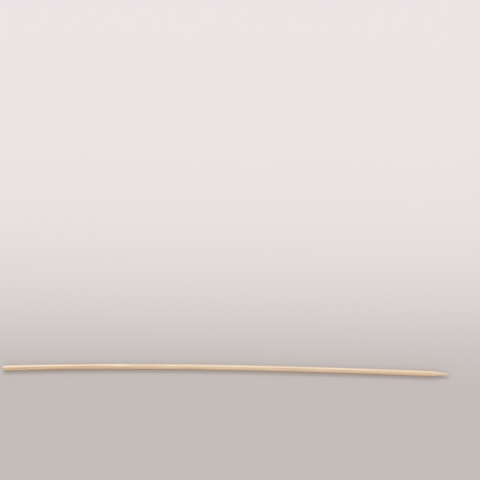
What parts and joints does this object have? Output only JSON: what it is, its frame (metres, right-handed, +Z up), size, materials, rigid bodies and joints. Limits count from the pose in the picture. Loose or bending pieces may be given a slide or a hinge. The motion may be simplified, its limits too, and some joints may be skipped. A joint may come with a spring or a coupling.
{
  "type": "bamboo skewer",
  "caption": "Long thin round bamboo skewer with a slight natural bow, a smooth ground point and a square sawn butt.",
  "frame": {"origin": "on the surface that the stick rests on, under the middle of its box", "axes": "+X runs along the stick from the sawn butt to the point, +Y points to the side that the flat-lying bow stands out to, +Z is up"},
  "size_m": [0.3, 0.0064, 0.0035],
  "materials": {
    "bamboo": "unvarnished pale straw bamboo, drawn smooth and tumbled, with fine straight fibres along it and a soft satin sheen"
  },
  "bodies": {
    "root": {"skewer": "bamboo"}
  },
  "joints": []
}
